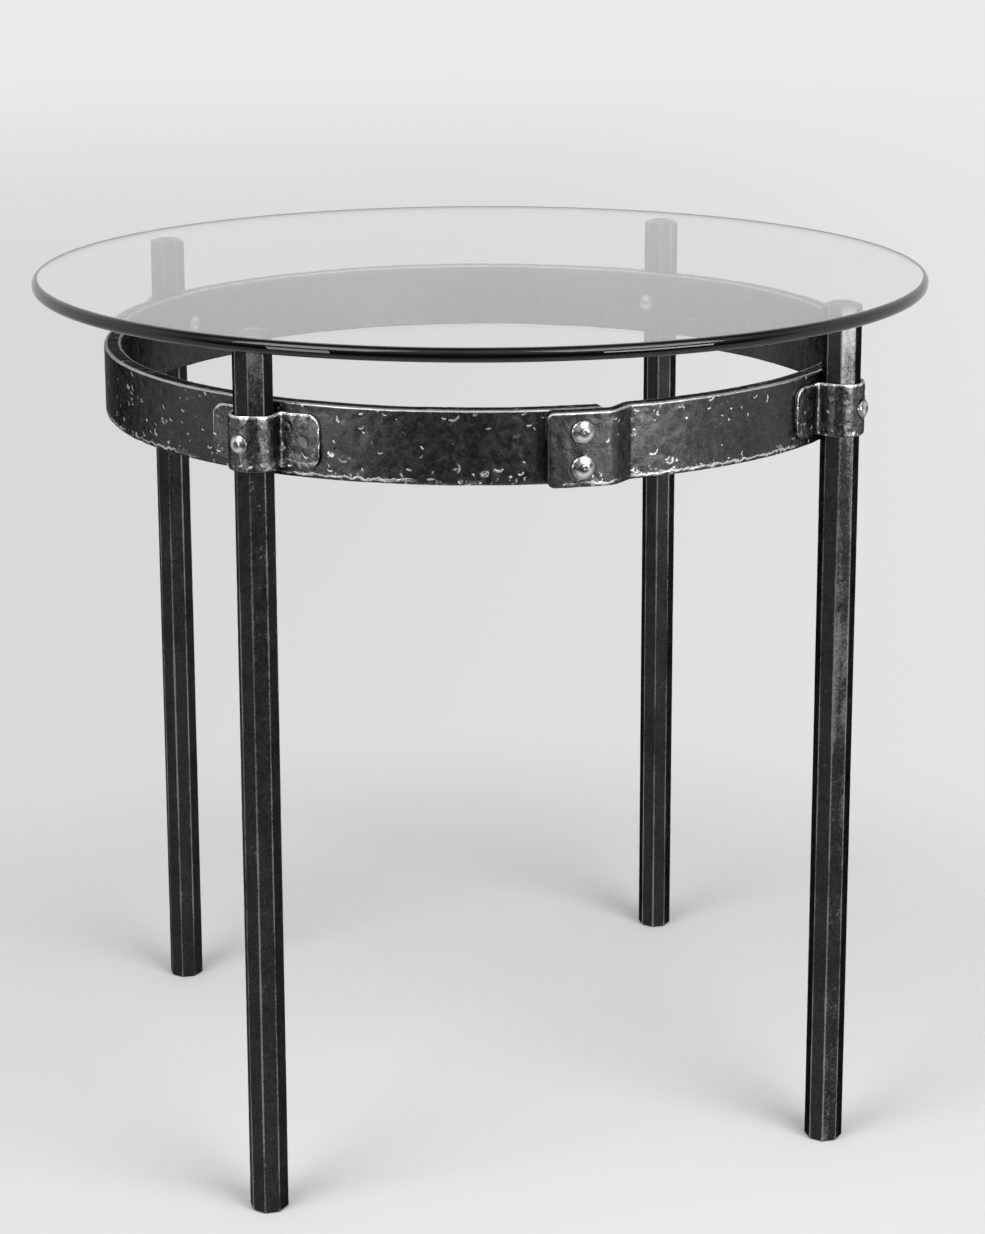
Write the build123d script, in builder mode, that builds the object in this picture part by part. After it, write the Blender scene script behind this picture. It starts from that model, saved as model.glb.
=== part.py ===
from build123d import *

# Round end table: a clear glass top on four octagonal iron legs, which stand outside a forged ring.
# The ring's axis is Z, the feet stand on Z = 0, and the ring's riveted lap faces -Y.

import os
from math import acos, atan2, cos, degrees, pi, sqrt

os.makedirs("parts", exist_ok=True)

# Legs: octagonal bar with one flat against the ring.
leg_length = 615.0
leg_flats = 25.4
leg_sides = 8
leg_corner_round = 0.9
leg_end_chamfer = 1.4
leg_places = ("back_right", "back_left", "front_left", "front_right")

# Ring: one flat bar bent to a hoop, with its ends lapped at the front.
ring_height = 50.8
ring_thickness = 12.7
ring_drop = 39.5  # from the leg tops down to the ring's top edge
ring_edge_round = 1.8
lap_angle = -91  # where the two lap rivets are
lap_outer_reach = 22.5  # from the rivets to the end that shows
lap_inner_reach = 19.5  # from the rivets to the end behind it
lap_gap = 0.3  # between the two layers
joggle_outer_reach = 16.5  # from the rivets to where the outer face starts to step inward
joggle_inner_reach = 20.8  # the same on the inner face, clear of the end behind the lap
joggle_length = 21.3
joggle_soft_bend = 12.0  # radius of each face's rounded bend, on the bar's stretched side
joggle_tight_bend = 3.0  # radius of each face's hollow bend
lap_outer_corner = 5.0
lap_inner_corner = 4.0

# Straps: flat strap bent round the outside of each leg, with a wing on each side.
strap_height = 38.1
strap_thickness = 3.0
strap_reach = 42.6  # from the leg's middle to a wing's end, along the ring
strap_bend_radius = 3.0  # outside radius of the hollow bend between barrel and wing
strap_corner_radius = 9.0
strap_edge_round = 0.8

# Rivets: a forged shank with a low domed head at each end.
rivet_shank_diameter = 6.4
leg_rivet_head_diameter = 13.2
leg_rivet_head_height = 3.4
lap_rivet_head_diameter = 15.6
lap_rivet_head_height = 3.8
lap_rivet_spacing = 24.0
rivet_rim_height = 0.7  # upright rim below the dome
rivet_hole_clearance = 0.1  # on the radius
seat_clearance = 0.1  # between curved faces that lie on each other

# Glass top and the clear discs that it rests on.
glass_diameter = 660.4
glass_overhang = 25.4  # past the legs' outer flats
glass_thickness = 9.5
glass_edge_share = 0.44  # of the thickness, for the radius of the polished round edge
bumper_diameter = 15.8
bumper_thickness = 1.2

# Places that follow from the sizes above.
leg_turn = 360 / len(leg_places)
leg_angles = {place: leg_turn * (number + 1 / 2) for number, place in enumerate(leg_places)}
ring_diameter = glass_diameter - 2 * (glass_overhang + leg_flats)
ring_radius = ring_diameter / 2
ring_inner_radius = ring_radius - ring_thickness
ring_top = leg_length - ring_drop
ring_middle = ring_top - ring_height / 2
leg_radius = ring_radius + leg_flats / 2
lap_radius = ring_radius + lap_gap
lap_outer_radius = lap_radius + ring_thickness
hole_radius = rivet_shank_diameter / 2 + rivet_hole_clearance
glass_bottom = leg_length + bumper_thickness
overrun = ring_thickness


def outward(angle):
    """Unit vector that points away from the ring's axis at an angle round it."""
    return Vector(1, 0, 0).rotate(Axis.Z, angle)


def level_plane(angle, radius, height):
    """Horizontal plane at a radius and height: X points outward, Y follows the ring."""
    away = outward(angle)
    return Plane(origin=away * radius + Vector(0, 0, height), x_dir=away, z_dir=(0, 0, 1))


def drill_plane(angle, radius, height):
    """Upright plane that faces outward at a radius and height, for what runs through the ring's wall."""
    away = outward(angle)
    return Plane(origin=away * radius + Vector(0, 0, height), x_dir=(0, 0, 1), z_dir=away)


def ring_turn(length, radius=ring_radius):
    """Angle in degrees that a length takes along a circle round the ring's axis."""
    return degrees(length / radius)


def on_circle(radius, angle):
    """Point of the horizontal plane at a radius and angle."""
    return outward(angle) * radius


# Ring band: the bar runs from its hidden end round the hoop, steps inward from the lap to the hoop, and its
# other end laps over the hidden one. On each face the joggle is a bend, a straight ramp and a bend back.
hidden_angle = lap_angle + ring_turn(lap_inner_reach)
shown_angle = lap_angle - ring_turn(lap_outer_reach)


def joggle(depth, reach, lap_bend, hoop_bend):
    """Where a face's joggle starts and ends, the centres of its bends and the angle that its ramp faces."""
    start = lap_angle + ring_turn(reach)
    end = start + ring_turn(joggle_length)
    lap_centre = on_circle(lap_radius + depth - lap_bend, start)
    hoop_centre = on_circle(ring_inner_radius + depth + hoop_bend, end)
    gap = hoop_centre - lap_centre
    facing = degrees(atan2(gap.Y, gap.X) - acos((lap_bend + hoop_bend) / gap.length))
    return start, end, lap_centre, hoop_centre, facing


def band_line(depth, reach, lap_bend, hoop_bend):
    """One long side of the bar, at a depth from its inner face. Gives the angle that its ramp faces."""
    start, end, lap_centre, hoop_centre, facing = joggle(depth, reach, lap_bend, hoop_bend)
    CenterArc((0, 0), ring_inner_radius + depth, end, 360 - (end - hidden_angle))
    CenterArc(hoop_centre, hoop_bend, end + 180, facing - end)
    Line(hoop_centre - outward(facing) * hoop_bend, lap_centre + outward(facing) * lap_bend)
    CenterArc(lap_centre, lap_bend, start, facing - start)
    CenterArc((0, 0), lap_radius + depth, shown_angle, start - shown_angle)
    return facing


def level_axis(angle):
    """Axis that lies level and points along an angle, which picks the edges or faces that match it."""
    return Axis((0, 0, 0), outward(angle))


def drill(angle, height, radius=hole_radius):
    """Cuts a hole through the wall at an angle and height, along the outward direction."""
    with BuildSketch(drill_plane(angle, ring_radius, height)) as hole:
        Circle(radius)
    extrude(hole.sketch, amount=leg_flats + strap_thickness + overrun, both=True, mode=Mode.SUBTRACT)


lap_rivet_heights = {
    "upper": ring_middle + lap_rivet_spacing / 2,
    "lower": ring_middle - lap_rivet_spacing / 2,
}

with BuildPart() as ring_band:
    with BuildSketch(Plane.XY.offset(ring_middle)):
        with BuildLine():
            inner_ramp = band_line(0, joggle_inner_reach, joggle_tight_bend, joggle_soft_bend)
            outer_ramp = band_line(ring_thickness, joggle_outer_reach, joggle_soft_bend, joggle_tight_bend)
            Line(on_circle(ring_inner_radius, hidden_angle), on_circle(ring_radius, hidden_angle))
            Line(on_circle(lap_radius, shown_angle), on_circle(lap_outer_radius, shown_angle))
        make_face()
    extrude(amount=ring_height / 2, both=True)
    fillet(ring_band.edges().filter_by(level_axis(shown_angle)), lap_outer_corner)
    fillet(ring_band.edges().filter_by(level_axis(hidden_angle)), lap_inner_corner)
    end_faces = ring_band.faces().filter_by(level_axis(shown_angle + 90))
    end_faces += ring_band.faces().filter_by(level_axis(hidden_angle + 90))
    long_edges = ring_band.edges().filter_by(GeomType.CIRCLE)
    for ramp in (inner_ramp, outer_ramp):
        long_edges += ring_band.edges().filter_by(level_axis(ramp + 90))
    fillet(long_edges + end_faces.edges().filter_by(Axis.Z), ring_edge_round)
    for leg_angle in leg_angles.values():
        drill(leg_angle, ring_middle)
    for rivet_height in lap_rivet_heights.values():
        drill(lap_angle, rivet_height)
ring_band.part.label = "ring_band"
export_step(ring_band.part, "parts/ring_band.step")

# Legs: octagonal bar, its corners worn soft and its ends dressed, drilled for the rivet.
for place, leg_angle in leg_angles.items():
    with BuildPart() as leg:
        with BuildSketch(level_plane(leg_angle, leg_radius, 0)):
            RegularPolygon(leg_flats / 2, leg_sides, major_radius=False, rotation=180 / leg_sides)
        extrude(amount=leg_length)
        chamfer(leg.faces().filter_by(Axis.Z).edges(), leg_end_chamfer)
        fillet(leg.edges().filter_by(Plane.XY, reverse=True), leg_corner_round)
        drill(leg_angle, ring_middle)
    leg.part.label = f"leg_{place}"
    export_step(leg.part, f"parts/leg_{place}.step")

# Straps: a round barrel close round the leg's outer corners, a tight hollow bend on each side of it, and
# two wings that follow the ring. In the strap's plane the origin is the leg's middle and X points outward.
barrel_radius = leg_flats / 2 / cos(pi / leg_sides) + seat_clearance
wing_radius = ring_radius + seat_clearance
bend_radius = strap_bend_radius + strap_thickness
bend_x = ((wing_radius + bend_radius) ** 2 - (barrel_radius + bend_radius) ** 2 - leg_radius**2) / 2 / leg_radius
bend_y = sqrt((barrel_radius + bend_radius) ** 2 - bend_x**2)
barrel_turn = degrees(atan2(bend_y, bend_x))
bend_turn = degrees(atan2(bend_y, bend_x + leg_radius))
wing_turn = ring_turn(strap_reach, wing_radius)
bend_sweep = barrel_turn - bend_turn


def strap_line(depth):
    """Half of the strap's bent line at a depth from its inner face, from the barrel's middle to a wing's end."""
    CenterArc((0, 0), barrel_radius + depth, 0, barrel_turn)
    CenterArc((bend_x, bend_y), bend_radius - depth, 180 + bend_turn, bend_sweep)
    CenterArc((-leg_radius, 0), wing_radius + depth, bend_turn, wing_turn - bend_turn)


def wing_end(depth):
    """End of the wing's face at a depth, in the strap's plane."""
    return on_circle(wing_radius + depth, wing_turn) - Vector(leg_radius, 0, 0)


for place, leg_angle in leg_angles.items():
    with BuildPart() as strap:
        with BuildSketch(level_plane(leg_angle, leg_radius, ring_middle)):
            with BuildLine():
                strap_line(0)
                strap_line(strap_thickness)
                Line(wing_end(0), wing_end(strap_thickness))
                mirror(about=Plane.XZ)
            make_face()
        extrude(amount=strap_height / 2, both=True)
        wing_corners = strap.edges().filter_by(GeomType.LINE).filter_by(Plane.XY)
        fillet(wing_corners, strap_corner_radius)
        wing_faces = strap.faces().filter_by(GeomType.PLANE).filter_by(Axis.Z, reverse=True)
        uprights = wing_faces.edges().filter_by(Axis.Z)
        fillet(strap.edges().filter_by(GeomType.CIRCLE) + uprights, strap_edge_round)
        drill(leg_angle, ring_middle)
    strap.part.label = f"strap_{place}"
    export_step(strap.part, f"parts/strap_{place}.step")


# Rivets: drawn as half outlines in a level plane whose X axis runs outward along the rivet.
shank_radius = rivet_shank_diameter / 2
strap_outer_radius = barrel_radius + strap_thickness
lap_seat = lap_outer_radius + seat_clearance
strap_seat = leg_radius + strap_outer_radius


def inner_seat(diameter):
    """Where a head's flat side lies inside the ring, clear of the hollow wall at the head's rim."""
    return sqrt(ring_inner_radius**2 - (diameter / 2) ** 2) - seat_clearance


def head_line(base, seat, way, diameter, height):
    """Half outline of a head from its base past the rim to its tip; way is 1 outward and -1 inward."""
    rim = (seat + way * rivet_rim_height, diameter / 2)
    Line((base, diameter / 2), rim)
    TangentArc((seat + way * height, 0), rim, tangent=(0, 1))


def shank_line(start, end, start_radius, end_radius):
    """Half outline of the shank between two bases, with the step out to each base's own radius."""
    Polyline((start, start_radius), (start, shank_radius), (end, shank_radius), (end, end_radius))


for place, leg_angle in leg_angles.items():
    level = level_plane(leg_angle, 0, ring_middle)
    rivet_axis = Axis(level.origin, outward(leg_angle))
    head_radius = leg_rivet_head_diameter / 2
    ring_seat = inner_seat(leg_rivet_head_diameter)
    with BuildPart() as leg_rivet:
        with BuildSketch(level):
            with BuildLine():
                head_line(leg_radius, strap_seat, 1, leg_rivet_head_diameter, leg_rivet_head_height)
                Line((leg_radius, 0), (leg_radius, head_radius))
                Line((leg_radius, 0), (strap_seat + leg_rivet_head_height, 0))
            make_face()
        revolve(axis=rivet_axis)
        with BuildSketch(level_plane(leg_angle, leg_radius, ring_middle)):
            Circle(strap_outer_radius + seat_clearance)
        extrude(amount=leg_rivet_head_diameter, both=True, mode=Mode.SUBTRACT)
        with BuildSketch(level):
            with BuildLine():
                head_line(ring_seat, ring_seat, -1, leg_rivet_head_diameter, leg_rivet_head_height)
                shank_line(ring_seat, strap_seat + rivet_rim_height, head_radius, 0)
                Line((strap_seat + rivet_rim_height, 0), (ring_seat - leg_rivet_head_height, 0))
            make_face()
        revolve(axis=rivet_axis)
    leg_rivet.part.label = f"leg_rivet_{place}"
    export_step(leg_rivet.part, f"parts/leg_rivet_{place}.step")

for place, rivet_height in lap_rivet_heights.items():
    level = level_plane(lap_angle, 0, rivet_height)
    head_radius = lap_rivet_head_diameter / 2
    ring_seat = inner_seat(lap_rivet_head_diameter)
    with BuildPart() as lap_rivet:
        with BuildSketch(level):
            with BuildLine():
                head_line(ring_seat, ring_seat, -1, lap_rivet_head_diameter, lap_rivet_head_height)
                shank_line(ring_seat, lap_seat, head_radius, head_radius)
                head_line(lap_seat, lap_seat, 1, lap_rivet_head_diameter, lap_rivet_head_height)
                Line((ring_seat - lap_rivet_head_height, 0), (lap_seat + lap_rivet_head_height, 0))
            make_face()
        revolve(axis=Axis(level.origin, outward(lap_angle)))
    lap_rivet.part.label = f"lap_rivet_{place}"
    export_step(lap_rivet.part, f"parts/lap_rivet_{place}.step")

# Bumpers: a clear disc on the middle of each leg top.
for place, leg_angle in leg_angles.items():
    with BuildPart() as bumper:
        with BuildSketch(level_plane(leg_angle, leg_radius, leg_length)):
            Circle(bumper_diameter / 2)
        extrude(amount=bumper_thickness)
    bumper.part.label = f"bumper_{place}"
    export_step(bumper.part, f"parts/bumper_{place}.step")

# Glass top: a round pane with its edges polished round, loose on the bumpers.
with BuildPart() as glass_top:
    with BuildSketch(Plane.XY.offset(glass_bottom)):
        Circle(glass_diameter / 2)
    extrude(amount=glass_thickness)
    fillet(glass_top.edges().filter_by(GeomType.CIRCLE), glass_thickness * glass_edge_share)
glass_top.part.label = "glass_top"
export_step(glass_top.part, "parts/glass_top.step")
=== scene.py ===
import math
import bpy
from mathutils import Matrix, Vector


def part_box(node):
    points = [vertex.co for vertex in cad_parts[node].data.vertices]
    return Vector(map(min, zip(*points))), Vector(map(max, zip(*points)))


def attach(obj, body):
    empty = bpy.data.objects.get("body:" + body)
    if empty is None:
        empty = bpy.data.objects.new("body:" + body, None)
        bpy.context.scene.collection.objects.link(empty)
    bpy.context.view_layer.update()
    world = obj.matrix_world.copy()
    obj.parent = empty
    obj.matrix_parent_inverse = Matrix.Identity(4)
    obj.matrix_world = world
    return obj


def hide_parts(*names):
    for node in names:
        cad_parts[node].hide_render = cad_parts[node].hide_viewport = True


bl_info = {
    "name": "Wrought iron end table",
    "version": (1, 0, 0),
    "blender": (4, 5, 0),
    "location": "View3D > Sidebar > End table",
    "description": "Dresses the packed end table: forged iron surfaces, rivets, glass top and a pale stage",
    "category": "Object",
}

import bpy
import numpy as np
from bpy.props import FloatProperty, FloatVectorProperty, IntProperty, PointerProperty
from bpy.types import Operator, Panel, PropertyGroup
from mathutils import Matrix, Vector

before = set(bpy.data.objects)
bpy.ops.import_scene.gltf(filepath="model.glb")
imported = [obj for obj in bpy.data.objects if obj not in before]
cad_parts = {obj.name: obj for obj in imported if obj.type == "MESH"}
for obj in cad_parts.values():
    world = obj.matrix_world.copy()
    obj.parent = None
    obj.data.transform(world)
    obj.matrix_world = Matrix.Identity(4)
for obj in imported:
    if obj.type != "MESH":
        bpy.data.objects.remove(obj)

LEG_ANGLES = {"front_left": 225.0, "front_right": 315.0, "back_right": 45.0, "back_left": 135.0}
# Legs with one flat painted lighter as a lamp's sheen: its number, the share all along and the share that
# grows to the top.
SHEEN_FLATS = {"front_left": (1, 0.0, 0.95), "front_right": (7, 0.72, 0.35)}
LAP_ANGLE = -91.0
IMAGE_WIDTH, IMAGE_HEIGHT = 985, 1234
# Directions in the studio: its front, the side where the paper is lit more, and the soft panels above the
# table, each with the cosine where it is full and where it ends.
FRONT = (-0.2417, -0.9703, 0.0)
LIT_SIDE = (0.93, -0.37, 0.0)
PANELS = (((0.272, -0.583, 0.766), 0.87, 0.8), ((-0.58, -0.334, 0.743), 0.9, 0.84))

glass_low, glass_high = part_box("glass_top")
ring_low, ring_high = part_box("ring_band")
leg_low, leg_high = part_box("leg_front_right")
strap_low, strap_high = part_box("strap_front_right")
lap_rivet_low, lap_rivet_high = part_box("lap_rivet_upper")
lap_rivet_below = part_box("lap_rivet_lower")[0]
bumper_low, bumper_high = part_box("bumper_front_right")

RING_MIDDLE = (ring_low.z + ring_high.z) / 2
LEG_RADIUS = math.hypot((leg_low.x + leg_high.x) / 2, (leg_low.y + leg_high.y) / 2)
SIDES = 8
SIDE_TURN = 2 * math.pi / SIDES


def length(description, default):
    """A property that holds a length in metres."""
    return FloatProperty(description=description, default=default, min=0.0, precision=5, unit="LENGTH",
                         subtype="DISTANCE")


def shade(description, default):
    """A property that holds a colour."""
    return FloatVectorProperty(description=description, default=default, min=0.0, max=1.0, size=3,
                               subtype="COLOR")


def grey(description, level):
    """A property that holds a neutral colour."""
    return shade(description, (level, level, level))


def power(description, default):
    """A property that holds a lamp's power in watts."""
    return FloatProperty(description=description, default=default, unit="POWER")


class LegSettings(PropertyGroup):
    height: length("Length of the bar", leg_high.z - leg_low.z)
    flats: length("Width of the octagonal bar between two flats", leg_high.x - leg_low.x)
    corner_round: length("Radius that wear has given the bar's corners", 0.0009)
    end_chamfer: length("Dressed edge at each end of the bar", 0.0014)
    mark_depth: length("Deepest hammer mark in a flat", 0.00012)
    dark: grey("Waxed black scale on the legs", 0.018)
    light: grey("Scale that is rubbed thin on the legs", 0.05)
    # Also the colour of the flat that is painted light as a lamp's sheen.
    bare: grey("Metal that shows where corners are rubbed", 0.25)


class RingSettings(PropertyGroup):
    diameter: length("Across the hoop's outer face", ring_high.x - ring_low.x)
    height: length("Height of the flat bar", ring_high.z - ring_low.z)
    thickness: length("Thickness of the flat bar", 0.0127)
    edge_round: length("Radius of the bar's long edges", 0.0018)
    outer_reach: length("From the lap's rivets to the end that shows", 0.0225)
    inner_reach: length("From the lap's rivets to the end behind it", 0.0195)
    joggle_outer_reach: length("From the rivets to the joggle's start outside", 0.0165)
    joggle_inner_reach: length("From the rivets to the joggle's start inside", 0.0208)
    joggle_length: length("Length over which the bar steps inward", 0.0213)
    soft_bend: length("Radius of the rounded bend on each face of the joggle", 0.012)
    tight_bend: length("Radius of the hollow bend on each face of the joggle", 0.003)
    lap_gap: length("Gap between the two layers of the lap", 0.0003)
    outer_corner: length("Radius of the corners of the end that shows", 0.005)
    inner_corner: length("Radius of the corners of the end behind it", 0.004)
    mark_depth: length("Deepest hammer mark in the bar's faces", 0.0004)
    dark: grey("Waxed black scale on the ring", 0.048)
    light: grey("Scale that is rubbed thin on the ring", 0.115)
    bare: grey("Metal that shows on edges and high spots", 0.7)


class StrapSettings(PropertyGroup):
    height: length("Height of the strap", strap_high.z - strap_low.z)
    thickness: length("Thickness of the strap", 0.003)
    reach: length("From the leg's middle to a wing's end, along the ring", 0.0426)
    bend_radius: length("Outside radius of the bend between barrel and wing", 0.003)
    corner: length("Radius of a wing's corners", 0.009)
    edge_round: length("Radius of the strap's edges", 0.0008)
    clearance: length("Gap between the strap and what it lies on", 0.0001)
    mark_depth: length("Deepest hammer mark in the strap", 0.0006)
    bevel: length("Height of the hammered bevel below the strap's top edge", 0.006)
    dark: grey("Waxed black scale on the straps", 0.045)
    light: grey("Scale that is rubbed thin on the straps", 0.22)
    bare: grey("Metal that shows on edges and high spots", 0.8)


class RivetSettings(PropertyGroup):
    shank: length("Diameter of the shank", 0.0064)
    leg_head: length("Diameter of the heads at the legs", 0.0132)
    leg_dome: length("Height of the heads at the legs", 0.0034)
    lap_head: length("Diameter of the heads in the lap", lap_rivet_high.x - lap_rivet_low.x)
    lap_dome: length("Height of the heads in the lap", 0.0038)
    rim: length("Upright rim below the dome", 0.0007)
    facet_count: IntProperty(description="Hammered facets on each head", default=9, min=3, max=24)
    dark: grey("Scale left between the facets", 0.14)
    bare: grey("Hammered metal of the heads", 0.72)


class GlassSettings(PropertyGroup):
    diameter: length("Diameter of the pane", 2 * min(glass_high.x, -glass_low.x))
    thickness: length("Thickness of the pane", glass_high.z - glass_low.z)
    edge_round: length("Radius of the polished round edge", 0.00418)
    bumper_diameter: length("Diameter of a clear disc", bumper_high.x - bumper_low.x)
    bumper_thickness: length("Thickness of a clear disc", bumper_high.z - bumper_low.z)
    body: shade("What the glass lets through along its edge", (0.5, 0.53, 0.52))


class StageSettings(PropertyGroup):
    paper: grey("Colour of the studio paper on the floor", 0.76)
    # The paper farther out is painted lighter to the right, as painted light of the lamps.
    left_paper_light: grey("Colour of the lit paper away from the table, to the left", 0.69)
    right_paper_light: grey("Colour of the lit paper away from the table, to the right", 0.8)
    backdrop: grey("Colour that is seen behind the table", 0.82)
    ceiling: grey("Colour of the dim room above the backdrop, in reflections", 0.16)
    room: grey("Colour of the dim room in front of the paper, in reflections", 0.085)
    wall: grey("Colour of the room's wall in front, in reflections", 0.42)
    panel: grey("Colour of the soft panels above the table, in reflections", 1.0)
    floor_radius: length("Radius of the round floor", 14.0)
    lamp_height: length("Height of a wide soft lamp", 1.2)
    left_power: power("Power of the left lamp", 23.0)
    right_power: power("Power of the right lamp", 29.5)
    strip_power: power("Power of each low strip", 12.0)
    fill: FloatProperty(description="Strength of the light from all round", default=0.4, min=0.0)


class TableSettings(PropertyGroup):
    legs: PointerProperty(type=LegSettings)
    ring: PointerProperty(type=RingSettings)
    straps: PointerProperty(type=StrapSettings)
    rivets: PointerProperty(type=RivetSettings)
    glass: PointerProperty(type=GlassSettings)
    stage: PointerProperty(type=StageSettings)


# Surfaces


NOISE_CELLS = 128
MARK_CELLS = 64


def soft_noise(across, along, seed):
    """Smooth noise from 0 to 1: random values on a unit grid, blended between grid points by a quintic
    step."""
    table = np.random.default_rng(seed).random((NOISE_CELLS, NOISE_CELLS))
    column, row = np.floor(across).astype(int), np.floor(along).astype(int)
    x, y = across - column, along - row
    column, row = column % NOISE_CELLS, row % NOISE_CELLS
    next_column, next_row = (column + 1) % NOISE_CELLS, (row + 1) % NOISE_CELLS
    x, y = x**3 * (x * (6 * x - 15) + 10), y**3 * (y * (6 * y - 15) + 10)
    low = table[column, row] * (1 - x) + table[next_column, row] * x
    high = table[column, next_row] * (1 - x) + table[next_column, next_row] * x
    return low * (1 - y) + high * y


def hammer_marks(across, along, seed):
    """Depth of hammer marks from 0 to 1: one oval hollow per unit cell, each with its own place, size, turn
    and depth, steeper on one side as the edge of a hammer leaves it. Where hollows meet, the deepest
    counts."""
    table = np.random.default_rng(seed).random((6, MARK_CELLS, MARK_CELLS))
    column, row = np.floor(across).astype(int), np.floor(along).astype(int)
    depth = np.zeros(np.broadcast(across, along).shape)
    for step_x in (-1, 0, 1):
        for step_y in (-1, 0, 1):
            here = table[:, (column + step_x) % MARK_CELLS, (row + step_y) % MARK_CELLS]
            x = across - (column + step_x + here[0])
            y = along - (row + step_y + here[1])
            turn = here[2] * np.pi * 2
            x, y = x * np.cos(turn) + y * np.sin(turn), y * np.cos(turn) - x * np.sin(turn)
            x, y = x / (0.25 + 0.4 * here[3]), y / (0.5 + 0.5 * here[4])
            hollow = np.clip(1 - x * x - y * y, 0, None) ** 2 * (1 + 0.7 * x) * here[5] ** 2
            depth = np.maximum(depth, hollow)
    return depth


def add_surface(node, ending, points, body, slot, material, **attributes):
    """Makes the closed mesh piece that replaces a node from a grid of points: each row is a closed loop,
    neighbouring rows are joined by quads, and the first and last rows are closed by a point at their middle.
    The faces are turned so that the volume they enclose is positive. Attributes have a value per point."""
    rows, columns = points.shape[:2]
    corners = np.concatenate([points.reshape(-1, 3), points[:1].mean(axis=1), points[-1:].mean(axis=1)])
    index = np.arange(rows * columns).reshape(rows, columns)
    after = np.roll(index, -1, axis=1)
    quads = np.stack([index[:-1], after[:-1], after[1:], index[1:]], axis=-1).reshape(-1, 4)
    first = np.stack([np.full(columns, rows * columns), after[0], index[0]], axis=-1)
    last = np.stack([np.full(columns, rows * columns + 1), index[-1], after[-1]], axis=-1)
    volume = 0.0
    for triangles in (quads[:, :3], quads[:, (0, 2, 3)], first, last):
        ends = corners[triangles]
        volume += np.einsum("ij,ij->i", ends[:, 0], np.cross(ends[:, 1], ends[:, 2])).sum()
    turn = 1 if volume > 0 else -1
    faces = quads[:, ::turn].tolist() + first[:, ::turn].tolist() + last[:, ::turn].tolist()
    name = f"{node}_{ending}"
    mesh = bpy.data.meshes.new(name)
    mesh.from_pydata(corners.tolist(), [], faces)
    for key, values in attributes.items():
        grid = np.broadcast_to(values, (rows, columns)).astype(np.float32)
        full = np.concatenate([grid.ravel(), [grid[0].mean(), grid[-1].mean()]]).astype(np.float32)
        mesh.attributes.new(key, "FLOAT", "POINT").data.foreach_set("value", full)
    mesh.polygons.foreach_set("use_smooth", np.ones(len(mesh.polygons), bool))
    mesh.materials.append(material)
    mesh.update()
    piece = bpy.data.objects.new(name, mesh)
    bpy.context.scene.collection.objects.link(piece)
    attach(piece, body)
    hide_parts(node)
    return piece


def bar_section(face_count, side_count, corner_count):
    """Unit section of a flat bar with rounded corners, once round it: where each point lies on the core
    rectangle, from -1 to 1 each way, and the direction in which the edge radius is added there."""
    turns = np.linspace(0, np.pi / 2, corner_count)
    face = np.sin(np.linspace(-1, 1, face_count) * np.pi / 2 * 0.92) / np.sin(np.pi / 2 * 0.92)
    side = np.linspace(-1, 1, side_count)
    core, way = [], []
    for quarter, (x, z) in enumerate(((1, 1), (-1, 1), (-1, -1), (1, -1))):
        angle = turns + quarter * np.pi / 2
        core.append(np.column_stack([np.full(corner_count, x), np.full(corner_count, z)]))
        way.append(np.column_stack([np.cos(angle), np.sin(angle)]))
        if quarter % 2 == 0:
            flat = np.column_stack([-x * side[1:-1], np.full(side_count - 2, z)])
            normal = (0, z)
        else:
            flat = np.column_stack([np.full(face_count - 2, x), -z * face[1:-1]])
            normal = (x, 0)
        core.append(flat)
        way.append(np.tile(normal, (len(flat), 1)))
    return np.concatenate(core), np.concatenate(way)


def rounded_end(distance, radius):
    """How far a rounded corner has drawn a side in, at a distance from the bar's end."""
    inside = np.clip(radius - distance, 0, radius)
    return radius - np.sqrt(radius**2 - inside**2)


def bar_surface(inner, outer, bottom, top, edge_round, corners, section, thickness):
    """Flat bar carried along a path. Two lines, one along each face, give the path: a section point lies
    between them by its share of the thickness, and between bottom and top by its share of the height. Near
    each end the height and the thickness are drawn in by quarter circles, so corners and end edges are
    round. Returns the grid of points, the way out of each, the length along the bar, the height and the
    distance to the nearest edge."""
    core, way = section
    middle = (inner + outer) / 2
    along = np.concatenate([[0], np.cumsum(np.linalg.norm(np.diff(middle, axis=0), axis=1))])
    from_ends = (along, along[-1] - along)
    drawn_height = sum(rounded_end(gap, radius) for gap, radius in zip(from_ends, corners))[:, None]
    drawn_side = sum(rounded_end(gap, edge_round) for gap in from_ends)[:, None]
    half_height = (top - bottom)[:, None] / 2 - drawn_height - drawn_side
    half_side = thickness / 2 - drawn_side
    radius = np.minimum(edge_round, half_side * 0.98)
    core_side, core_height = half_side - radius, half_height - radius
    side = core[:, 0] * core_side + way[:, 0] * radius
    height = (top + bottom)[:, None] / 2 + core[:, 1] * core_height + way[:, 1] * radius
    share = side / thickness + 0.5
    level = inner[:, None] * (1 - share[..., None]) + outer[:, None] * share[..., None]
    across = (outer - inner) / np.linalg.norm(outer - inner, axis=1)[:, None]
    upward = np.broadcast_to(way[None, :, 1:], (len(inner), len(way), 1))
    normal = np.concatenate([across[:, None] * way[None, :, :1], upward], axis=-1)
    from_side, from_height = (1 - np.abs(core[:, 0])) * core_side, (1 - np.abs(core[:, 1])) * core_height
    to_edge = np.where(np.abs(way[:, 0]) > 0.5, from_height, from_side)
    to_edge = np.minimum(to_edge, np.minimum(*from_ends)[:, None])
    points = np.concatenate([level, height[..., None]], axis=-1)
    return points, normal, along, height, to_edge


def turned(points, angle, middle=(0.0, 0.0, 0.0)):
    """Points turned about Z by an angle in degrees, then moved."""
    cosine, sine = math.cos(math.radians(angle)), math.sin(math.radians(angle))
    turn = np.array([[cosine, sine, 0], [-sine, cosine, 0], [0, 0, 1]])
    return points @ turn + np.array(middle)


def whole_turn(count):
    """Angles of evenly spaced points once round."""
    return np.linspace(0, 2 * np.pi, count, endpoint=False)


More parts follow.
